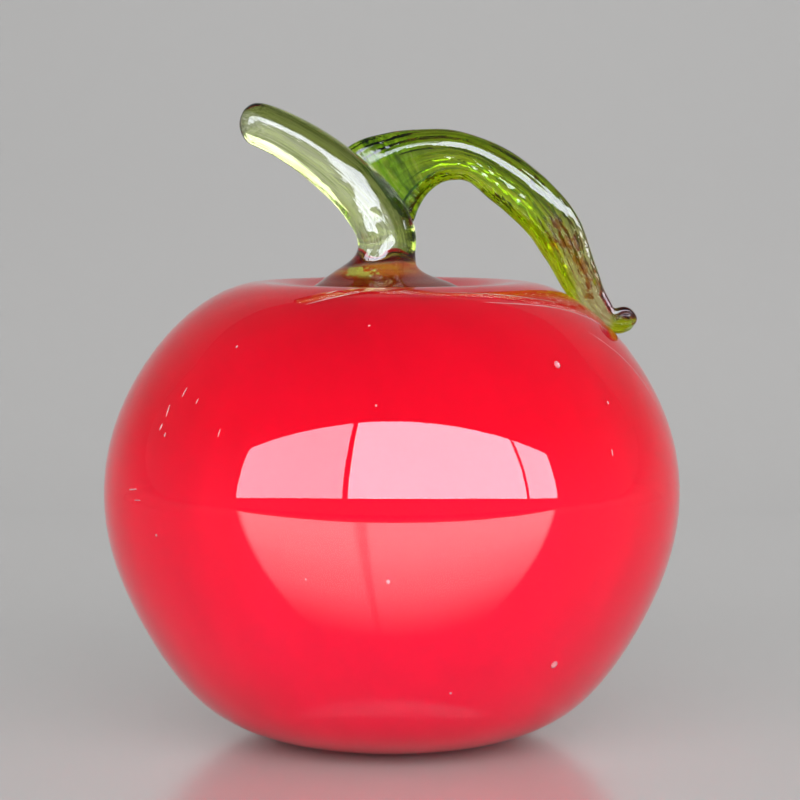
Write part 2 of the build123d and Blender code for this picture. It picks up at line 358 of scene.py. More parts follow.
def closed_sweep(rings, first_pole, last_pole):
    """Vertices and faces of a closed form from its rings, an array of ring, spot and xyz."""
    count, around, _ = rings.shape
    vertices = np.concatenate([rings.reshape(-1, 3), [first_pole, last_pole]])
    faces = sweep_faces(count, around)
    faces += cap(0, around, count * around, False)
    faces += cap((count - 1) * around, around, count * around + 1, True)
    return vertices, faces


def pole_grain(rings):
    """Grain of a closed sweep's vertices, its poles last, from the grain of its rings."""
    rings = np.array(rings)
    return np.concatenate([rings.reshape(-1, 3), [rings[0].mean(axis=0), rings[-1].mean(axis=0)]])


def new_object(name, data):
    """Object in the scene."""
    obj = bpy.data.objects.new(name, data)
    bpy.context.scene.collection.objects.link(obj)
    return obj


def mesh_object(name, vertices, faces, grain=None):
    """Object with smooth faces from millimetres. Its grain is each corner's place on the form."""
    mesh = bpy.data.meshes.new(name)
    mesh.from_pydata((np.asarray(vertices) * MM).tolist(), [], faces)
    mesh.polygons.foreach_set("use_smooth", [True] * len(mesh.polygons))
    if grain is not None:
        corners = np.empty(len(mesh.loops), int)
        mesh.loops.foreach_get("vertex_index", corners)
        attribute = mesh.attributes.new("grain", "FLOAT_VECTOR", "CORNER")
        attribute.data.foreach_set("vector", grain[corners].ravel())
    mesh.update()
    return new_object(name, mesh)


def drop_slivers(mesh):
    """Takes out the pairs of slivers that a cut can leave back to back on an edge."""
    form = bmesh.new()
    form.from_mesh(mesh)
    bmesh.ops.remove_doubles(form, verts=form.verts, dist=WELD * MM)
    bmesh.ops.triangulate(form, faces=form.faces)
    form.verts.index_update()
    found = {}
    for face in form.faces:
        found.setdefault(frozenset(vertex.index for vertex in face.verts), []).append(face)
    pairs = [face for faces in found.values() if len(faces) > 1 for face in faces]
    bmesh.ops.delete(form, geom=pairs, context="FACES")
    form.to_mesh(mesh)
    form.free()


def cut_away(obj, cutter):
    """Takes the cutter's room out of the object's mesh."""
    modifier = obj.modifiers.new("cut", "BOOLEAN")
    modifier.operation = "DIFFERENCE"
    modifier.solver = "MANIFOLD"
    modifier.object = cutter
    bpy.context.view_layer.update()
    depsgraph = bpy.context.evaluated_depsgraph_get()
    mesh = bpy.data.meshes.new_from_object(obj.evaluated_get(depsgraph))
    mesh.materials.clear()
    drop_slivers(mesh)
    obj.modifiers.clear()
    obj.data = mesh


def fused_on(name, form, grain, *cutters):
    """Object in a form, without the room that is taken up where it is fused on."""
    obj = mesh_object(name, *form, grain)
    for cutter in cutters:
        cut_away(obj, cutter)
    return obj


def finish_piece(obj, materials, slot, *nodes):
    """Gives a piece its materials, its place in the frame and the nodes it stands for."""
    for material in materials:
        obj.data.materials.append(material)
    obj.data.set_sharp_from_angle(angle=math.radians(SHARP_TURN))
    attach(obj, "root")
    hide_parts(*nodes)


# Body

def blown_wave(angle, height):
    """Share of the radius that the hand-blown form keeps at each place."""
    return BLOWN_SHARE + waves(BLOWN_WAVES, angle, height)


def outside_and_normal():
    """Dense profile of the outside, and the direction out of the glass at each of its points."""
    curve = smooth_curve(OUTSIDE, OUTSIDE_STEPS + 1)
    along = unit(np.gradient(curve, axis=0))
    return curve, np.column_stack([along[:, 1], -along[:, 0]])


DENSE_OUTSIDE, OUTWARD = outside_and_normal()
UP = np.array([0.0, 0.0, 1.0])


def layer_profile(depth, count):
    """Profile of the surface that lies a depth under the outside, from the floor's middle to the hole."""
    inward = DENSE_OUTSIDE - OUTWARD * depth
    spots = [round(OUTSIDE_STEPS * place / LAYER_PLACES) for place in range(1, LAYER_PLACES + 1)]
    rows = np.concatenate([[(0.0, PONTIL_DEPTH + depth)], inward[spots]])
    rows[-1, 0] = HOLE_RADIUS
    return smooth_curve(rows, count)


def casing_profile():
    """Outside with the pontil dish and the ground ring, then the hole and the inside back to the middle."""
    dish_radii = np.linspace(0.0, PONTIL_RADIUS, DISH_RINGS)
    dish = np.column_stack([dish_radii, PONTIL_DEPTH * (1 - (dish_radii / PONTIL_RADIUS) ** 2)])
    ground = np.array([(radius, 0.0) for radius in GROUND_RADII])
    outside = smooth_curve(OUTSIDE, OUTSIDE_RINGS)
    inside = layer_profile(CASING_WALL, INSIDE_RINGS)[::-1]
    return np.concatenate([dish, ground, outside, inside])


def turned_rings(profile, around):
    """Rings of the profile turned about the upright axis, an array of ring, spot and xyz."""
    radius, turn = np.meshgrid(profile[:, 0], angles(around), indexing="ij")
    height = np.repeat(profile[:, 1][:, None], around, axis=1)
    radius = radius * blown_wave(turn, height)
    return np.stack([radius * np.sin(turn), -radius * np.cos(turn), height], axis=-1)


def turned(profile, around):
    """Closed form turned about the upright axis; the profile starts and ends on it."""
    first, last = ((0.0, 0.0, profile[end, 1]) for end in (0, -1))
    return closed_sweep(turned_rings(profile[1:-1], around), first, last)


def ring_form(profile, around):
    """Closed ring turned about the upright axis from a closed profile."""
    count = len(profile)
    faces = np.array(sweep_faces(count + 1, around)) % (count * around)
    return turned_rings(profile, around).reshape(-1, 3), faces.tolist()


def body_cutter():
    """Room of the body for cutting what is fused on it, a little smaller than the body itself."""
    inset = (DENSE_OUTSIDE - OUTWARD * FUSED)[CUTTER_START::CUTTER_STEP]
    bore = HOLE_RADIUS + FUSED
    inset = inset[inset[:, 0] > bore]
    profile = np.concatenate([[(bore, CUTTER_FLOOR[1]), CUTTER_FLOOR], inset, [(bore, inset[-1, 1])]])
    return mesh_object("body_cutter", *ring_form(profile, CUTTER_AROUND))


def surface_place(angle, height, depth):
    """Point a depth under the outside, with the directions round, up along and out of the glass."""
    upper = np.argmax(DENSE_OUTSIDE[:, 1])
    spot = np.argmin(np.abs(DENSE_OUTSIDE[:upper, 1] - height))
    turn = math.radians(angle)
    radius, level = DENSE_OUTSIDE[spot] - OUTWARD[spot] * depth
    radius *= blown_wave(turn, level)
    side = np.array([math.sin(turn), -math.cos(turn), 0.0])
    around = np.array([math.cos(turn), math.sin(turn), 0.0])
    outward = side * OUTWARD[spot, 0] + UP * OUTWARD[spot, 1]
    return side * radius + UP * level, around, np.cross(outward, around), outward


def circle(middle, first, second, radius, around):
    """Points round a middle, in the plane of two directions."""
    return [middle + (first * math.cos(turn) + second * math.sin(turn)) * radius for turn in angles(around)]


def bubble(angle, height, depth, half_length, half_width, lean):
    """Rounded cavity in the casing, drawn out along its lean."""
    middle, around, up, outward = surface_place(angle, height, depth)
    tilt = math.radians(lean)
    half_axis = (up * math.cos(tilt) + around * math.sin(tilt)) * half_length
    wide_axis = around * math.cos(tilt) - up * math.sin(tilt)
    rings = [circle(middle + half_axis * math.cos(polar), wide_axis, outward, math.sin(polar) * half_width,
                    SEED_AROUND)
             for polar in np.linspace(0.0, math.pi, SEED_STEPS + 1)[1:-1]]
    return closed_sweep(np.array(rings), middle + half_axis, middle - half_axis)


def swirl(points, depth, half_width):
    """Thin drawn cavity that follows the outside, pointed at both ends."""
    line = [surface_place(angle, height, depth) for angle, height in smooth_curve(points, SWIRL_STEPS)]
    places, outward = (np.array([spot[i] for spot in line]) for i in (0, 3))
    side = np.cross(unit(np.gradient(places, axis=0)), outward)
    sizes = half_width * np.sqrt(np.sin(np.linspace(0.0, math.pi, SWIRL_STEPS)[1:-1]))
    rings = [circle(places[i], side[i], outward[i], size, SWIRL_AROUND) for i, size in enumerate(sizes, 1)]
    return closed_sweep(np.array(rings), places[0], places[-1])


def turned_out(form, outwards=True):
    """The form with its faces turned to the outside, or to the inside for a cavity."""
    vertices, faces = form
    corners = np.array([(face[0], face[i], face[i + 1]) for face in faces for i in range(1, len(face) - 1)])
    a, b, c = (vertices[corners[:, i]] for i in range(3))
    volume = np.einsum("ij,ij->", a, np.cross(b, c))
    if (volume > 0) != outwards:
        faces = [tuple(reversed(face)) for face in faces]
    return vertices, faces


def joined(forms):
    """All the forms' vertices and faces as one."""
    vertices, faces = np.empty((0, 3)), []
    for more_vertices, more_faces in forms:
        faces += [tuple(i + len(vertices) for i in face) for face in more_faces]
        vertices = np.concatenate([vertices, more_vertices])
    return vertices, faces


def casing():
    """Clear casing with its seeds and swirls, whose faces wear the second material."""
    shell = turned_out(turned(casing_profile(), CASING_AROUND))
    cavities = [turned_out(bubble(*seed), False) for seed in SEEDS]
    cavities += [turned_out(swirl(*line), False) for line in SWIRLS]
    obj = mesh_object("clear_glass_casing", *joined([shell] + cavities))
    shell_count = len(shell[1])
    worn = [0] * shell_count + [1] * (len(obj.data.polygons) - shell_count)
    obj.data.polygons.foreach_set("material_index", worn)
    return obj


def red_core():
    """Red layer, which reaches out into the casing."""
    outer = layer_profile(CASING_WALL - FUSED, CORE_RINGS[0])
    inner = layer_profile(CASING_WALL + RED_WALL - FUSED, CORE_RINGS[1])[::-1]
    form = turned(np.concatenate([outer, inner]), CORE_AROUND)
    return mesh_object("red_glass_core", *turned_out(form))


# Stem

def closed_section(loop, count):
    """Points of a smooth closed unit section through the given ones, at even angles about its middle."""
    dense = smooth_curve(np.array(loop * 3 + loop[:1]), 3 * SECTION_STEPS + 1)
    turn = np.unwrap(np.arctan2(dense[:, 1], dense[:, 0]))
    start = turn[SECTION_STEPS]
    spots = start + angles(count) - start % (2 * math.pi)
    spots = np.where(spots < turn[0], spots + 2 * math.pi, spots)
    return np.column_stack([np.interp(spots, turn, dense[:, i]) for i in range(2)])


def mixed_section(sections, which):
    """Section between two that follow each other; whole numbers are the given ones."""
    which = min(max(which, 0.0), len(sections) - 2 + MOST_MIXED)
    first, part = int(which), which % 1
    return sections[first] * (1 - part) + sections[first + 1] * part


def stem_form(inset):
    """Bent, tapering stem with its foot, this much smaller all round, and its grain."""
    stations = smooth_curve(STEM_STATIONS, STEM_RINGS)
    sections = [closed_section(loop, STEM_AROUND) for loop in STEM_SECTIONS]
    angle = angles(STEM_AROUND)
    disc = np.column_stack([np.cos(angle), np.sin(angle)])
    distance = line_distance(stations)
    rings, grain = [], []
    for i, (x, z, lean, half_width, half_depth, shaped, which) in enumerate(stations):
        tilt, share = math.radians(lean), clamped(shaped)
        outline = disc * (1 - share) + mixed_section(sections, which) * share
        foot = clamped((FOOT_TOP - z) / FOOT_HEIGHT)
        drape = (1 + foot * waves(FOOT_WAVES, angle)) * (1 + waves(STEM_WAVES, angle, z))
        wide = outline[:, 0] * drape * max(half_width - inset, LEAST_HALF)
        deep = outline[:, 1] * drape * max(half_depth - inset, LEAST_HALF)
        right, up = x + wide * math.cos(tilt), z + wide * math.sin(tilt)
        deep += swelling(right, up) * (deep > 0)
        rings.append(np.column_stack([right, -deep, up]))
        grain.append(np.column_stack([np.full(STEM_AROUND, distance[i] / MM_PER_CM), outline * share]))
    tip = np.array(STEM_TIP) + (inset, 0.0, 0.0)
    return turned_out(closed_sweep(np.array(rings), STEM_END, tip)), pole_grain(grain)


def swelling(right, up):
    """How far the swelling on the neck stands out at each x and z."""
    off = sum(((place - middle) / size) ** 2
              for place, middle, size in zip((right, up), SWELLING_PLACE, SWELLING_SIZE))
    return SWELLING_HEIGHT * np.exp(-off / 2)


# Leaf

def leaf_form():
    """Ribbed blade, drawn tail and curled bead in one sweep, and its grain."""
    edges = np.array(LEAF_STATIONS)
    upper, lower, thickness = edges[:, :2], edges[:, 2:4], edges[:, 4:]
    stations = smooth_curve(np.hstack([(upper + lower) / 2, (upper - lower) / 2, thickness]), LEAF_RINGS)
    distance = line_distance(stations)
    blade_section = closed_section(LEAF_NEAR + LEAF_FAR, LEAF_AROUND)
    root_section = closed_section(ROOT_NEAR + LEAF_FAR, LEAF_AROUND)
    angle = angles(LEAF_AROUND)
    near_side = np.clip((blade_section[:, 1] - NEAR_START) / NEAR_REACH, 0.0, 1.0)
    rings, grain = [], []
    for i, (x, z, half_x, half_z, half_thickness) in enumerate(stations):
        share = i / (LEAF_RINGS - 1)
        root = clamped((ROOT_END - share) / ROOT_FADE)
        section = root_section * root + blade_section * (1 - root)
        half_height = math.hypot(half_x, half_z)
        outline = section * (half_height, half_thickness)
        across = np.roll(outline, -1, axis=0) - np.roll(outline, 1, axis=0)
        inward = unit(np.column_stack([-across[:, 1], across[:, 0]]))
        kept = 1 - RIB_LOSS * clamped((share - RIB_LOSS_START) / RIB_LOSS_REACH)
        depth = RIB_DEPTH * min(1.0, half_height / RIB_WHOLE) * kept
        phase = LEAF_RIBS * angle / 2 + LEAF_TWIST * math.pi * share + waves(RIB_WAVES, angle, share)
        groove = depth * (1 - np.abs(np.sin(phase))) * (1 - near_side * (1 - NEAR_RIBS))
        dent = groove + np.abs(waves(LEAF_WAVES, angle, share))
        blade = outline + inward * dent[:, None]
        lean = LEAN_SLOPE * clamped((share - LEAN_START) / (LEAN_END - LEAN_START))
        blade[:, 1] += lean * blade[:, 0]
        back = ROOT_BACK * clamped(1 - share / ROOT_FORWARD)
        place = np.column_stack([x + half_x / half_height * blade[:, 0], back - blade[:, 1],
                                 z + half_z / half_height * blade[:, 0]])
        rings.append(curl_crease(place))
        grain.append(np.column_stack([np.full(LEAF_AROUND, distance[i] / MM_PER_CM), section]))
    rings = np.array(rings)
    root_middle, tip = rings[0].mean(axis=0), rings[-1].mean(axis=0)
    return turned_out(closed_sweep(rings, root_middle, tip)), pole_grain(grain)


def curl_crease(place):
    """Presses the crease of the curl, an open arc over the top, into both faces of the bead."""
    right, up = place[:, 0] - BEAD_MIDDLE[0], place[:, 2] - BEAD_MIDDLE[1]
    off = (np.hypot(right, up) - CURL_RADIUS) / CURL_HALF_WIDTH
    open_arc = np.clip(CURL_OPENING * (up + CURL_LEAN * right) / CURL_RADIUS + CURL_MIDDLE, 0.0, 1.0)
    press = CURL_DEPTH * np.exp(-off ** 2) * open_arc
    pressed = place.copy()
    pressed[:, 1] -= np.sign(place[:, 1]) * np.minimum(press, np.abs(place[:, 1]))
    return pressed


# Materials

def cleared_tree(owner):
    """Empty node tree of a material or the world."""
    owner.use_nodes = True
    owner.node_tree.nodes.clear()
    return owner.node_tree


def fill(tree, node, inputs):
    """Sets inputs of a node to numbers, or links them to sockets."""
    for name, value in inputs.items():
        if isinstance(value, bpy.types.NodeSocket):
            tree.links.new(value, node.inputs[name])
        else:
            node.inputs[name].default_value = value


def outputs_of(tree, kind, inputs):
    """Outputs of a new node with these inputs."""
    node = tree.nodes.new("ShaderNode" + kind)
    fill(tree, node, inputs)
    return node.outputs


def new_material(name):
    """Material with its node tree, its shader and its output."""
    material = bpy.data.materials.new(name)
    tree = cleared_tree(material)
    output = tree.nodes.new("ShaderNodeOutputMaterial")
    shader = tree.nodes.new("ShaderNodeBsdfPrincipled")
    fill(tree, output, {"Surface": shader.outputs[0]})
    return material, tree, shader, output


def grain_place(tree):
    """Place along the form in centimetres, and its shares up and towards the viewer."""
    node = tree.nodes.new("ShaderNodeAttribute")
    node.attribute_name = "grain"
    return node.outputs["Vector"]


def object_place(tree):
    return outputs_of(tree, "TexCoord", {})["Object"]


def object_centimetres(tree):
    """Place in the frame in centimetres."""
    return stretched(tree, object_place, (CM_PER_M, CM_PER_M, CM_PER_M))


def stretched(tree, place, stretch):
    return outputs_of(tree, "Mapping", {"Vector": place(tree), "Scale": stretch})["Vector"]


def noise(tree, scale, stretch=(1.0, 1.0, 1.0), detail=3.0, distortion=0.0, place=object_place):
    """Noise over a place, stretched along its axes."""
    vector = stretched(tree, place, stretch)
    inputs = {"Vector": vector, "Scale": scale, "Detail": detail, "Distortion": distortion}
    return outputs_of(tree, "TexNoise", inputs)["Fac"]


def chips(tree, scale, stretch, place):
    """Small facets with creases between them."""
    inputs = {"Vector": stretched(tree, place, stretch), "Scale": scale, "Randomness": 1.0}
    return outputs_of(tree, "TexVoronoi", inputs)["Distance"]


def axes(tree, vector):
    """X, Y and Z of a vector."""
    return outputs_of(tree, "SeparateXYZ", {0: vector})


def share_between(tree, value, low, high):
    """0 where the value is low, 1 where it is high, and in step between them."""
    return outputs_of(tree, "MapRange", {"Value": value, "From Min": low, "From Max": high})["Result"]


def part_of(tree, place, axis, low, high):
    """One axis of a place, from 0 at its low end to 1 at its high end."""
    return share_between(tree, axes(tree, place(tree))[axis], low, high)


def ramp(tree, value, *stops):
    """Colour for each value, from stops of place, red, green and blue."""
    node = tree.nodes.new("ShaderNodeValToRGB")
    elements = node.color_ramp.elements
    while len(elements) < len(stops):
        elements.new(0.5)
    for element, (place, *colour) in zip(elements, stops):
        element.position = place
        element.color = (*colour, 1.0)
    tree.links.new(value, node.inputs["Fac"])
    return node.outputs["Color"]


def levels(tree, value, *stops):
    """Grey for each value, from stops of place and brightness."""
    return ramp(tree, value, *((place, level, level, level) for place, level in stops))


def mixed(tree, kind, share, first, second):
    """Two colours mixed in a way of the Mix node, by a number or a mask."""
    node = tree.nodes.new("ShaderNodeMix")
    node.data_type = "RGBA"
    node.blend_type = kind
    fill(tree, node, {"Factor": share, "A": first, "B": second})
    return node.outputs["Result"]


def times(tree, *colours):
    """All the colours multiplied."""
    product = colours[0]
    for colour in colours[1:]:
        product = mixed(tree, "MULTIPLY", 1.0, product, colour)
    return product


def masked(tree, mask, first, second):
    """The first colour, and the second where the mask is white."""
    return mixed(tree, "MIX", mask, first, second)


def relief(tree, height, strength, distance):
    """Normal of a relief in metres."""
    return outputs_of(tree, "Bump", {"Height": height, "Strength": strength, "Distance": distance})["Normal"]


def smears(tree, scale, detail, most):
    """Roughness of fire-polished glass, with faint smears from handling up to this much."""
    return levels(tree, noise(tree, scale, detail=detail), (0.5, 0.0), (0.85, most))


def clear_glass():
    """Clear glass with a faint grain."""
    material, tree, shader, _ = new_material("clear_glass")
    stria = noise(tree, 14.0, (1.0, 1.0, 3.0), 2.0, 0.8)
    colour = ramp(tree, stria, (0.35, 1.0, 0.99, 0.99), (0.7, 0.98, 0.965, 0.97))
    fill(tree, shader, {"Base Color": colour, "Transmission Weight": 1.0, "IOR": 1.47,
                        "Roughness": smears(tree, 60.0, 5.0, 0.03),
                        "Normal": relief(tree, noise(tree, 22.0, (1.0, 1.0, 2.2), 1.0), 0.05, 0.001)})
    return material


def ragged_spots(tree, place, stretch, middles, size):
    """Mask of ragged spots at the given middles, in the place's own lengths once stretched."""
    ragged = levels(tree, noise(tree, 9.0, detail=2.0, place=place), (0.35, 0.55), (0.65, 1.6))
    mask = None
    for middle in middles:
        node = tree.nodes.new("ShaderNodeVectorMath")
        node.operation = "DISTANCE"
        fill(tree, node, {0: stretched(tree, place, stretch), 1: [a * b for a, b in zip(middle, stretch)]})
        distance = times(tree, node.outputs["Value"], ragged)
        spot = levels(tree, distance, (0.75 * size, 1.0), (size, 0.0))
        mask = spot if mask is None else mixed(tree, "LIGHTEN", 1.0, mask, spot)
    return mask


def seed_glass():
    """Walls of the seeds and swirls: their pale, partly frosted colour is a painted highlight, so they show
    pale against the red.
    """
    material, tree, shader, _ = new_material("seed_glass")
    colour = ramp(tree, noise(tree, 400.0), (0.35, 1.0, 0.58, 0.64), (0.65, 1.0, 0.92, 0.92))
    fill(tree, shader, {"Base Color": colour, "Transmission Weight": 0.5, "IOR": 1.47,
                        "Roughness": levels(tree, noise(tree, 700.0), (0.3, 0.1), (0.7, 0.3))})
    return material


def red_glass():
    """Ruby layer: crimson with painted shade that darkens it towards the top, and drawn-out veils."""
    material, tree, shader, _ = new_material("red_glass")
    # Painted shade: the red darkens from the shoulder up to the top.
    body = ramp(tree, part_of(tree, object_place, "Z", 0.0, RED_SHADE_TOP * MM),
                (0.0, 0.95, 0.0, 0.044), (0.3, 0.98, 0.001, 0.046), (0.55, 0.93, 0.003, 0.034),
                (0.72, 0.78, 0.0, 0.018), (1.0, 0.58, 0.0, 0.012))
    veil = ramp(tree, noise(tree, 13.0, (1.0, 1.0, 0.45), 4.0, 1.2),
                (0.34, 0.91, 0.8, 0.92), (0.52, 1.0, 1.0, 1.0), (0.8, 1.0, 2.0, 1.2))
    streak = levels(tree, noise(tree, 70.0, (1.0, 1.0, 0.07), 3.0, 0.4), (0.4, 0.95), (0.6, 1.0))
    colour = times(tree, body, veil, streak)
    fill(tree, shader, {"Base Color": colour, "Roughness": 0.6, "Specular IOR Level": 0.0})
    return material


def tinted_glass(name, tint, density):
    """Clear glass that takes its main colour from its depth."""
    material, tree, shader, output = new_material(name)
    volume = outputs_of(tree, "VolumeAbsorption", {"Color": (*tint, 1.0), "Density": density})[0]
    fill(tree, output, {"Volume": volume})
    fill(tree, shader, {"Transmission Weight": 1.0, "IOR": 1.5, "Coat Weight": 0.1, "Coat Roughness": 0.02,
                        "Roughness": smears(tree, 160.0, 4.0, 0.04)})
    return material, tree, shader


def stem_glass():
    """Pale green with lines along the rod. Painted shade makes the band above the ridge dark olive and the
    lower edge darker, and a painted highlight lines the top edge. The foot's red-brown is a painted
    refraction of the red body, with painted shade where it sits in the body's hollow.
    """
    material, tree, shader = tinted_glass("stem_glass", (0.72, 0.86, 0.16), 38.0)
    # Painted shade across the rod: dark olive above the ridge and darker at the lower edge, with a painted
    # highlight line on the top edge.
    painted_facet_shade = ramp(tree, part_of(tree, grain_place, "Y", -1.0, 1.0),
                  (0.0, 0.7, 0.8, 0.36), (0.09, 0.98, 1.0, 0.8), (0.42, 0.98, 1.0, 0.86),
                  (0.6, 0.94, 0.97, 0.8), (0.68, 0.25, 0.3, 0.05), (0.93, 0.17, 0.22, 0.03),
                  (1.0, 0.9, 0.9, 0.66))
    lines = ramp(tree, noise(tree, 2.4, (0.05, 1.7, 1.0), 3.0, 0.35, grain_place),
                 (0.42, 1.0, 1.0, 1.0), (0.475, 0.4, 0.48, 0.2), (0.49, 1.0, 1.0, 1.0),
                 (0.56, 0.86, 0.92, 0.6), (0.62, 1.0, 1.0, 1.0))
    length = part_of(tree, grain_place, "X", 0.0, STEM_LENGTH)
    # Painted refraction: the foot's red-brown stands in for the red body seen through the glass, and the
    # foot is made partly opaque so it shows.
    painted_red_through_foot = ramp(tree, noise(tree, 2.6, (2.0, 1.0, 1.0), 3.0, 0.8, grain_place),
                 (0.42, 0.8, 0.16, 0.02), (0.54, 0.95, 0.36, 0.05), (0.68, 0.95, 0.6, 0.12))
    edge = levels(tree, noise(tree, 1.1, (0.0, 1.0, 0.6), 1.0, 0.0, grain_place), (0.3, 0.0), (0.7, 0.08))
    foot = levels(tree, mixed(tree, "ADD", 1.0, length, edge), (0.53, 1.0), (0.56, 0.0))
    window = ragged_spots(tree, object_centimetres, WINDOW_STRETCH, WINDOW, WINDOW_SIZE)
    yellow = ramp(tree, painted_red_through_foot, (0.0, 0.86, 1.0, 0.12), (1.0, 0.95, 1.0, 0.25))
    # Painted shade: dark red where the foot sits down in the body's hollow.
    deep = ramp(tree, length, (0.415, 0.45, 0.08, 0.04), (0.445, 1.0, 1.0, 1.0))
    painted_red_through_foot = times(tree, masked(tree, window, painted_red_through_foot, yellow), deep)
    fluting = noise(tree, 2.2, (0.1, 1.6, 1.0), 3.0, 0.4, grain_place)
    fill(tree, shader, {"Base Color": masked(tree, foot, times(tree, painted_facet_shade, lines), painted_red_through_foot),
                        "Transmission Weight": levels(tree, foot, (0.0, 1.0), (1.0, 0.75)),
                        "Normal": relief(tree, fluting, 0.35, 0.0004)})
    return material


def leaf_glass():
    """Deep yellow-green: fine streaks, a dark root, chips below and a beige tail with red-brown flecks.
    Painted shade darkens the upper band to olive and the lower edge, a painted highlight lines the top edge,
    and a painted reflection of the red body lies on the bead.
    """
    material, tree, shader = tinted_glass("leaf_glass", (0.75, 0.865, 0.0), 340.0)
    streak = ramp(tree, noise(tree, 4.2, (0.1, 1.5, 0.6), 4.0, 0.5, grain_place),
                  (0.32, 0.12, 0.2, 0.004), (0.41, 0.42, 0.54, 0.012), (0.5, 0.74, 0.86, 0.03),
                  (0.62, 1.0, 1.0, 0.35))
    length = part_of(tree, grain_place, "X", 0.0, LEAF_LENGTH)
    up = part_of(tree, grain_place, "Y", -1.0, 1.0)
    # Painted shade across the blade: dark olive in the upper band and darker at the lower edge, with a
    # painted highlight line on the top edge.
    painted_band_shade = ramp(tree, up, (0.0, 0.6, 0.75, 0.25), (0.08, 1.0, 1.0, 0.7), (0.45, 1.0, 0.97, 0.6),
                          (0.62, 0.66, 0.6, 0.5), (0.86, 0.46, 0.5, 0.3), (0.97, 0.5, 0.58, 0.3),
                          (1.0, 1.0, 1.0, 0.8))
    fan = noise(tree, 4.2, (1.5, 0.2, 0.4), 3.0, 0.6, grain_place)
    root = ramp(tree, fan, (0.36, 0.05, 0.13, 0.003), (0.46, 0.3, 0.5, 0.008),
                           (0.55, 0.6, 0.95, 0.04), (0.64, 1.0, 1.0, 0.45))
    at_root = levels(tree, length, (0.1, 1.0), (0.22, 0.0))
    colour = masked(tree, at_root, times(tree, streak, painted_band_shade), root)
    beige = ramp(tree, noise(tree, 5.0, (0.5, 0.9, 0.6), 3.0, 0.9, grain_place),
                 (0.36, 0.55, 0.36, 0.3), (0.46, 0.88, 0.72, 0.8), (0.58, 1.0, 0.86, 1.0))
    raised = mixed(tree, "ADD", 1.0, up, levels(tree, length, (0.78, 0.0), (0.88, 0.5)))
    tail = times(tree, levels(tree, length, (0.58, 0.0), (0.7, 0.9), (0.925, 1.0), (0.94, 0.0)),
                 levels(tree, raised, (0.3, 0.0), (0.42, 1.0)))
    colour = masked(tree, tail, colour, beige)
    # Painted reflection: a wine-red crescent of the red body on top of the bead.
    painted_reflection_mask = times(tree, levels(tree, length, (0.935, 0.0), (0.95, 1.0)),
                     levels(tree, up, (0.62, 0.0), (0.68, 1.0)))
    painted_reflected_red = ramp(tree, streak, (0.0, 0.05, 0.004, 0.002), (1.0, 0.12, 0.012, 0.006))
    colour = masked(tree, painted_reflection_mask, colour, painted_reflected_red)
    speckle = noise(tree, 6.0, place=grain_place)
    brown = ramp(tree, speckle, (0.4, 0.26, 0.03, 0.01), (0.6, 0.62, 0.18, 0.03))
    flecks = ragged_spots(tree, grain_place, FLECK_STRETCH, FLECKS, FLECK_SIZE)
    below = levels(tree, up, (0.36, 1.0), (0.52, 0.08))
    beyond = levels(tree, length, (0.55, 0.0), (0.63, 0.7), (0.84, 0.7), (0.9, 0.0))
    chipped = times(tree, chips(tree, 4.6, (1.0, 0.75, 0.75), grain_place),
                    mixed(tree, "LIGHTEN", 1.0, below, beyond))
    fill(tree, shader, {"Base Color": masked(tree, flecks, colour, brown),
                        "Normal": relief(tree, masked(tree, at_root, chipped, fan), 0.4, 0.0006)})
    return material


def opal_glass():
    """White glass with faint clouds."""
    material, tree, shader, _ = new_material("opal_glass")
    clouds = noise(tree, 30.0, detail=4.0)
    colour = ramp(tree, clouds, (0.3, 0.86, 0.85, 0.83), (0.7, 0.93, 0.92, 0.9))
    fill(tree, shader, {"Base Color": colour, "Roughness": 0.25})
    return material


# Stage

def calculated(tree, operation, *values):
    """Math node's result for sockets or numbers."""
    node = tree.nodes.new("ShaderNodeMath")
    node.operation = operation
    fill(tree, node, dict(enumerate(values)))
    return node.outputs[0]


def glow_strength(tree):
    """The softbox's mirror image in the floor, as a patch that widens away from the object."""
    place = axes(tree, outputs_of(tree, "NewGeometry", {})["Position"])
    away = calculated(tree, "MULTIPLY_ADD", place["Y"], -1.0, -GLOW_START * MM)
    side = calculated(tree, "DIVIDE", place["X"], calculated(tree, "MAXIMUM", away, MM))
    panes = levels(tree, share_between(tree, side, *GLOW_SIDES), *GLOW_PANES)
    fade = levels(tree, share_between(tree, away, 0.0, GLOW_LENGTH * MM), *GLOW_FADE)
    return times(tree, panes, fade)


def floor_glow(takers):
    """Lamp that lies on the floor in front and shows in the reflections of the casing alone."""
    reach = GLOW_LENGTH * max(GLOW_SIDES)
    place = (0.0, -GLOW_START - GLOW_LENGTH / 2, GLOW_HEIGHT)
    lamp = panel_lamp("floor_glow", place, FACE_UP, (2 * reach, GLOW_LENGTH), GLOW_LIGHT)
    only_on(lamp, takers)
    only_mirrored(lamp)
    lamp.data.use_nodes = True
    tree = lamp.data.node_tree
    emission = next(node for node in tree.nodes if node.type == "EMISSION")
    fill(tree, emission, {"Strength": glow_strength(tree)})


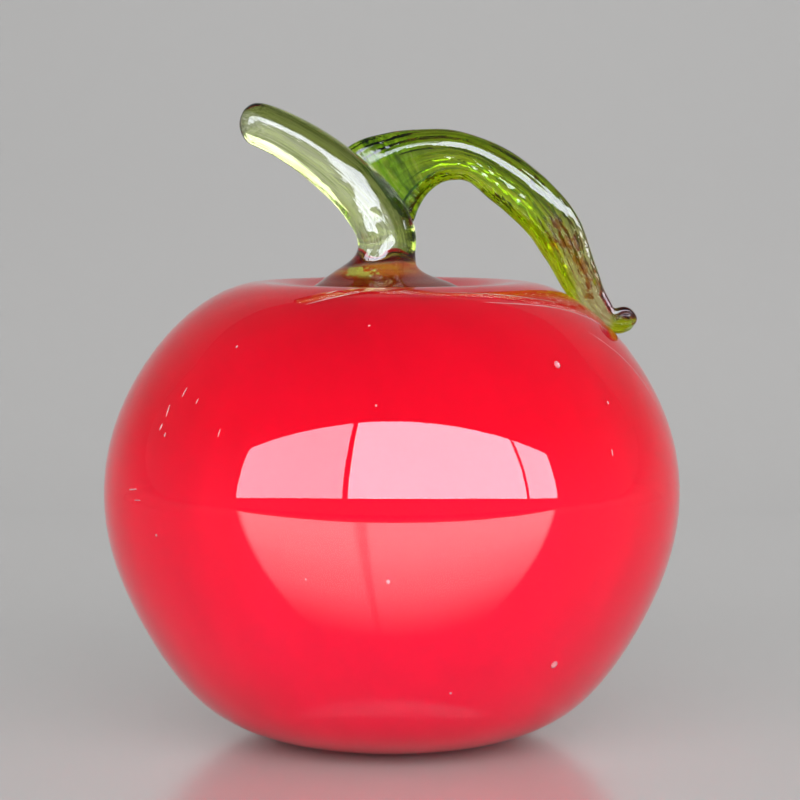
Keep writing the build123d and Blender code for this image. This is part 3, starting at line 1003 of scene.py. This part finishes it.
def studio_floor():
    """Pale satin floor that sweeps up behind the object."""
    sweep = [(place, 0.0) for place in FLOOR_PLACES + [SWEEP_START]]
    sweep += [(SWEEP_START + SWEEP_RADIUS * math.sin(turn), SWEEP_RADIUS * (1 - math.cos(turn)))
              for turn in np.linspace(SWEEP_FIRST, math.pi / 2, SWEEP_STEPS)]
    sweep += [(SWEEP_START + SWEEP_RADIUS, WALL_TOP)]
    vertices = [(x, y, z) for y, z in sweep for x in (-FLOOR_HALF_WIDTH, FLOOR_HALF_WIDTH)]
    faces = [(2 * i, 2 * i + 1, 2 * i + 3, 2 * i + 2) for i in range(len(sweep) - 1)]
    obj = mesh_object("studio_floor", vertices, faces)
    material, tree, shader, _ = new_material("studio_floor")
    fill(tree, shader, {"Base Color": (0.72, 0.715, 0.71, 1.0), "Metallic": 0.46, "Roughness": 0.2})
    obj.data.materials.append(material)
    return obj


def only_on(lamp, takers, state="INCLUDE"):
    """Lets the lamp act on the given objects alone, or on all but them."""
    group = bpy.data.collections.new(lamp.name + "_group")
    for obj in takers:
        group.objects.link(obj)
    for entry in group.collection_objects:
        entry.light_linking.link_state = state
    lamp.light_linking.receiver_collection = group


def only_mirrored(lamp):
    """Makes the lamp show in reflections and nowhere else."""
    lamp.visible_glossy = True
    lamp.visible_diffuse = lamp.visible_transmission = lamp.visible_volume_scatter = False


def aimed(name, data, place, tilt, turn=0.0):
    """Object at a place, tilted up from looking straight down and turned, in degrees."""
    obj = new_object(name, data)
    obj.location = Vector(place) * MM
    obj.rotation_euler = (math.radians(tilt), 0.0, math.radians(turn))
    return obj


def panel_lamp(name, place, tilt, size, radiance, turn=0.0):
    """Rectangular lamp that lights but isn't seen by the camera or in reflections."""
    width, height = size[0] * MM, size[1] * MM
    light = bpy.data.lights.new(name, "AREA")
    light.shape = "RECTANGLE"
    light.size, light.size_y = width, height
    light.energy = radiance * math.pi * width * height
    obj = aimed(name, light, place, tilt, turn)
    obj.visible_camera = obj.visible_glossy = False
    return obj


def softbox(number, left, right, share, glint_share, floor):
    """Panel of the softbox: a lamp that lights the object, and one that only shows in its reflections."""
    middle, size = (left + right) / 2, (right - left, BOX_HIGH - BOX_LOW)
    level = (BOX_LOW + BOX_HIGH) / 2
    panel_lamp(f"softbox_{number}", (middle, BOX_PLACE, level), UPRIGHT, size, BOX_LIGHT * share)
    glint = panel_lamp(f"softbox_glint_{number}", (middle, BOX_PLACE + GLINT_STEP, level), UPRIGHT, size,
                       GLINT_LIGHT * glint_share)
    glint.data.color = GLINT_COLOUR
    only_mirrored(glint)
    only_on(glint, [floor], "EXCLUDE")


def studio_light(floor, body, rod):
    """Lamps and world; the body's casing comes first in its list."""
    for number, ((left, right), *shares) in enumerate(zip(BOX_EDGES, BOX_SHARES, GLINT_SHARES)):
        softbox(number, left, right, *shares, floor)
    floor_glow(body[:1])
    panel_lamp("wall_lamp", WALL_LAMP_PLACE, WALL_LAMP_TILT, WALL_LAMP_SIZE, WALL_LAMP_LIGHT)
    x, y, z = FILL_PLACE
    for name, side, light in (("right", 1, FILL_LIGHT[0]), ("left", -1, FILL_LIGHT[1])):
        panel_lamp("fill_" + name, (side * x, y, z), UPRIGHT, FILL_SIZE, light, side * SIDEWAYS)
    for name, takers, light in (("body", body, BACK_LIGHT[0]), ("rod", [rod], BACK_LIGHT[1])):
        only_on(panel_lamp("back_lamp_" + name, BACK_PLACE, BACK_TILT, BACK_SIZE, light), takers)
    studio_world()


def studio_world():
    """Soft grey all round, a little darker above."""
    world = bpy.data.worlds.new("studio")
    bpy.context.scene.world = world
    tree = cleared_tree(world)
    height = axes(tree, outputs_of(tree, "TexCoord", {})["Generated"])["Z"]
    background = outputs_of(tree, "Background", {"Color": levels(tree, height, *SKY)})[0]
    outputs_of(tree, "OutputWorld", {"Surface": background})


def camera():
    """Camera in front of the object, looking a little down."""
    data = bpy.data.cameras.new("camera")
    data.lens = CAMERA_LENS
    data.sensor_width = CAMERA_SENSOR
    data.clip_start, data.clip_end = CAMERA_REACH
    bpy.context.scene.camera = aimed("camera", data, CAMERA_PLACE, UPRIGHT - CAMERA_DOWN)


camera()
bpy.context.scene.view_settings.view_transform = "Standard"

body_room = body_cutter()
stem_room = mesh_object("stem_cutter", *stem_form(FUSED)[0])

clear_piece, red_piece = casing(), red_core()
stem_piece = fused_on("green_glass_stem", *stem_form(0.0), body_room)
leaf_piece = fused_on("green_glass_leaf", *leaf_form(), body_room, stem_room)
finish_piece(clear_piece, [clear_glass(), seed_glass()], "clear_glass", "clear_casing")
finish_piece(red_piece, [red_glass()], "red_glass", "red_layer")
finish_piece(stem_piece, [stem_glass()], "stem_glass", "stem")
finish_piece(leaf_piece, [leaf_glass()], "leaf_glass", "leaf")
for cutter in (body_room, stem_room):
    bpy.data.objects.remove(cutter)

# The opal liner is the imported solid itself, with its own material.
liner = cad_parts["opal_liner"]
liner.data.materials.clear()
liner.data.materials.append(opal_glass())

studio_light(studio_floor(), [clear_piece, red_piece, liner], stem_piece)
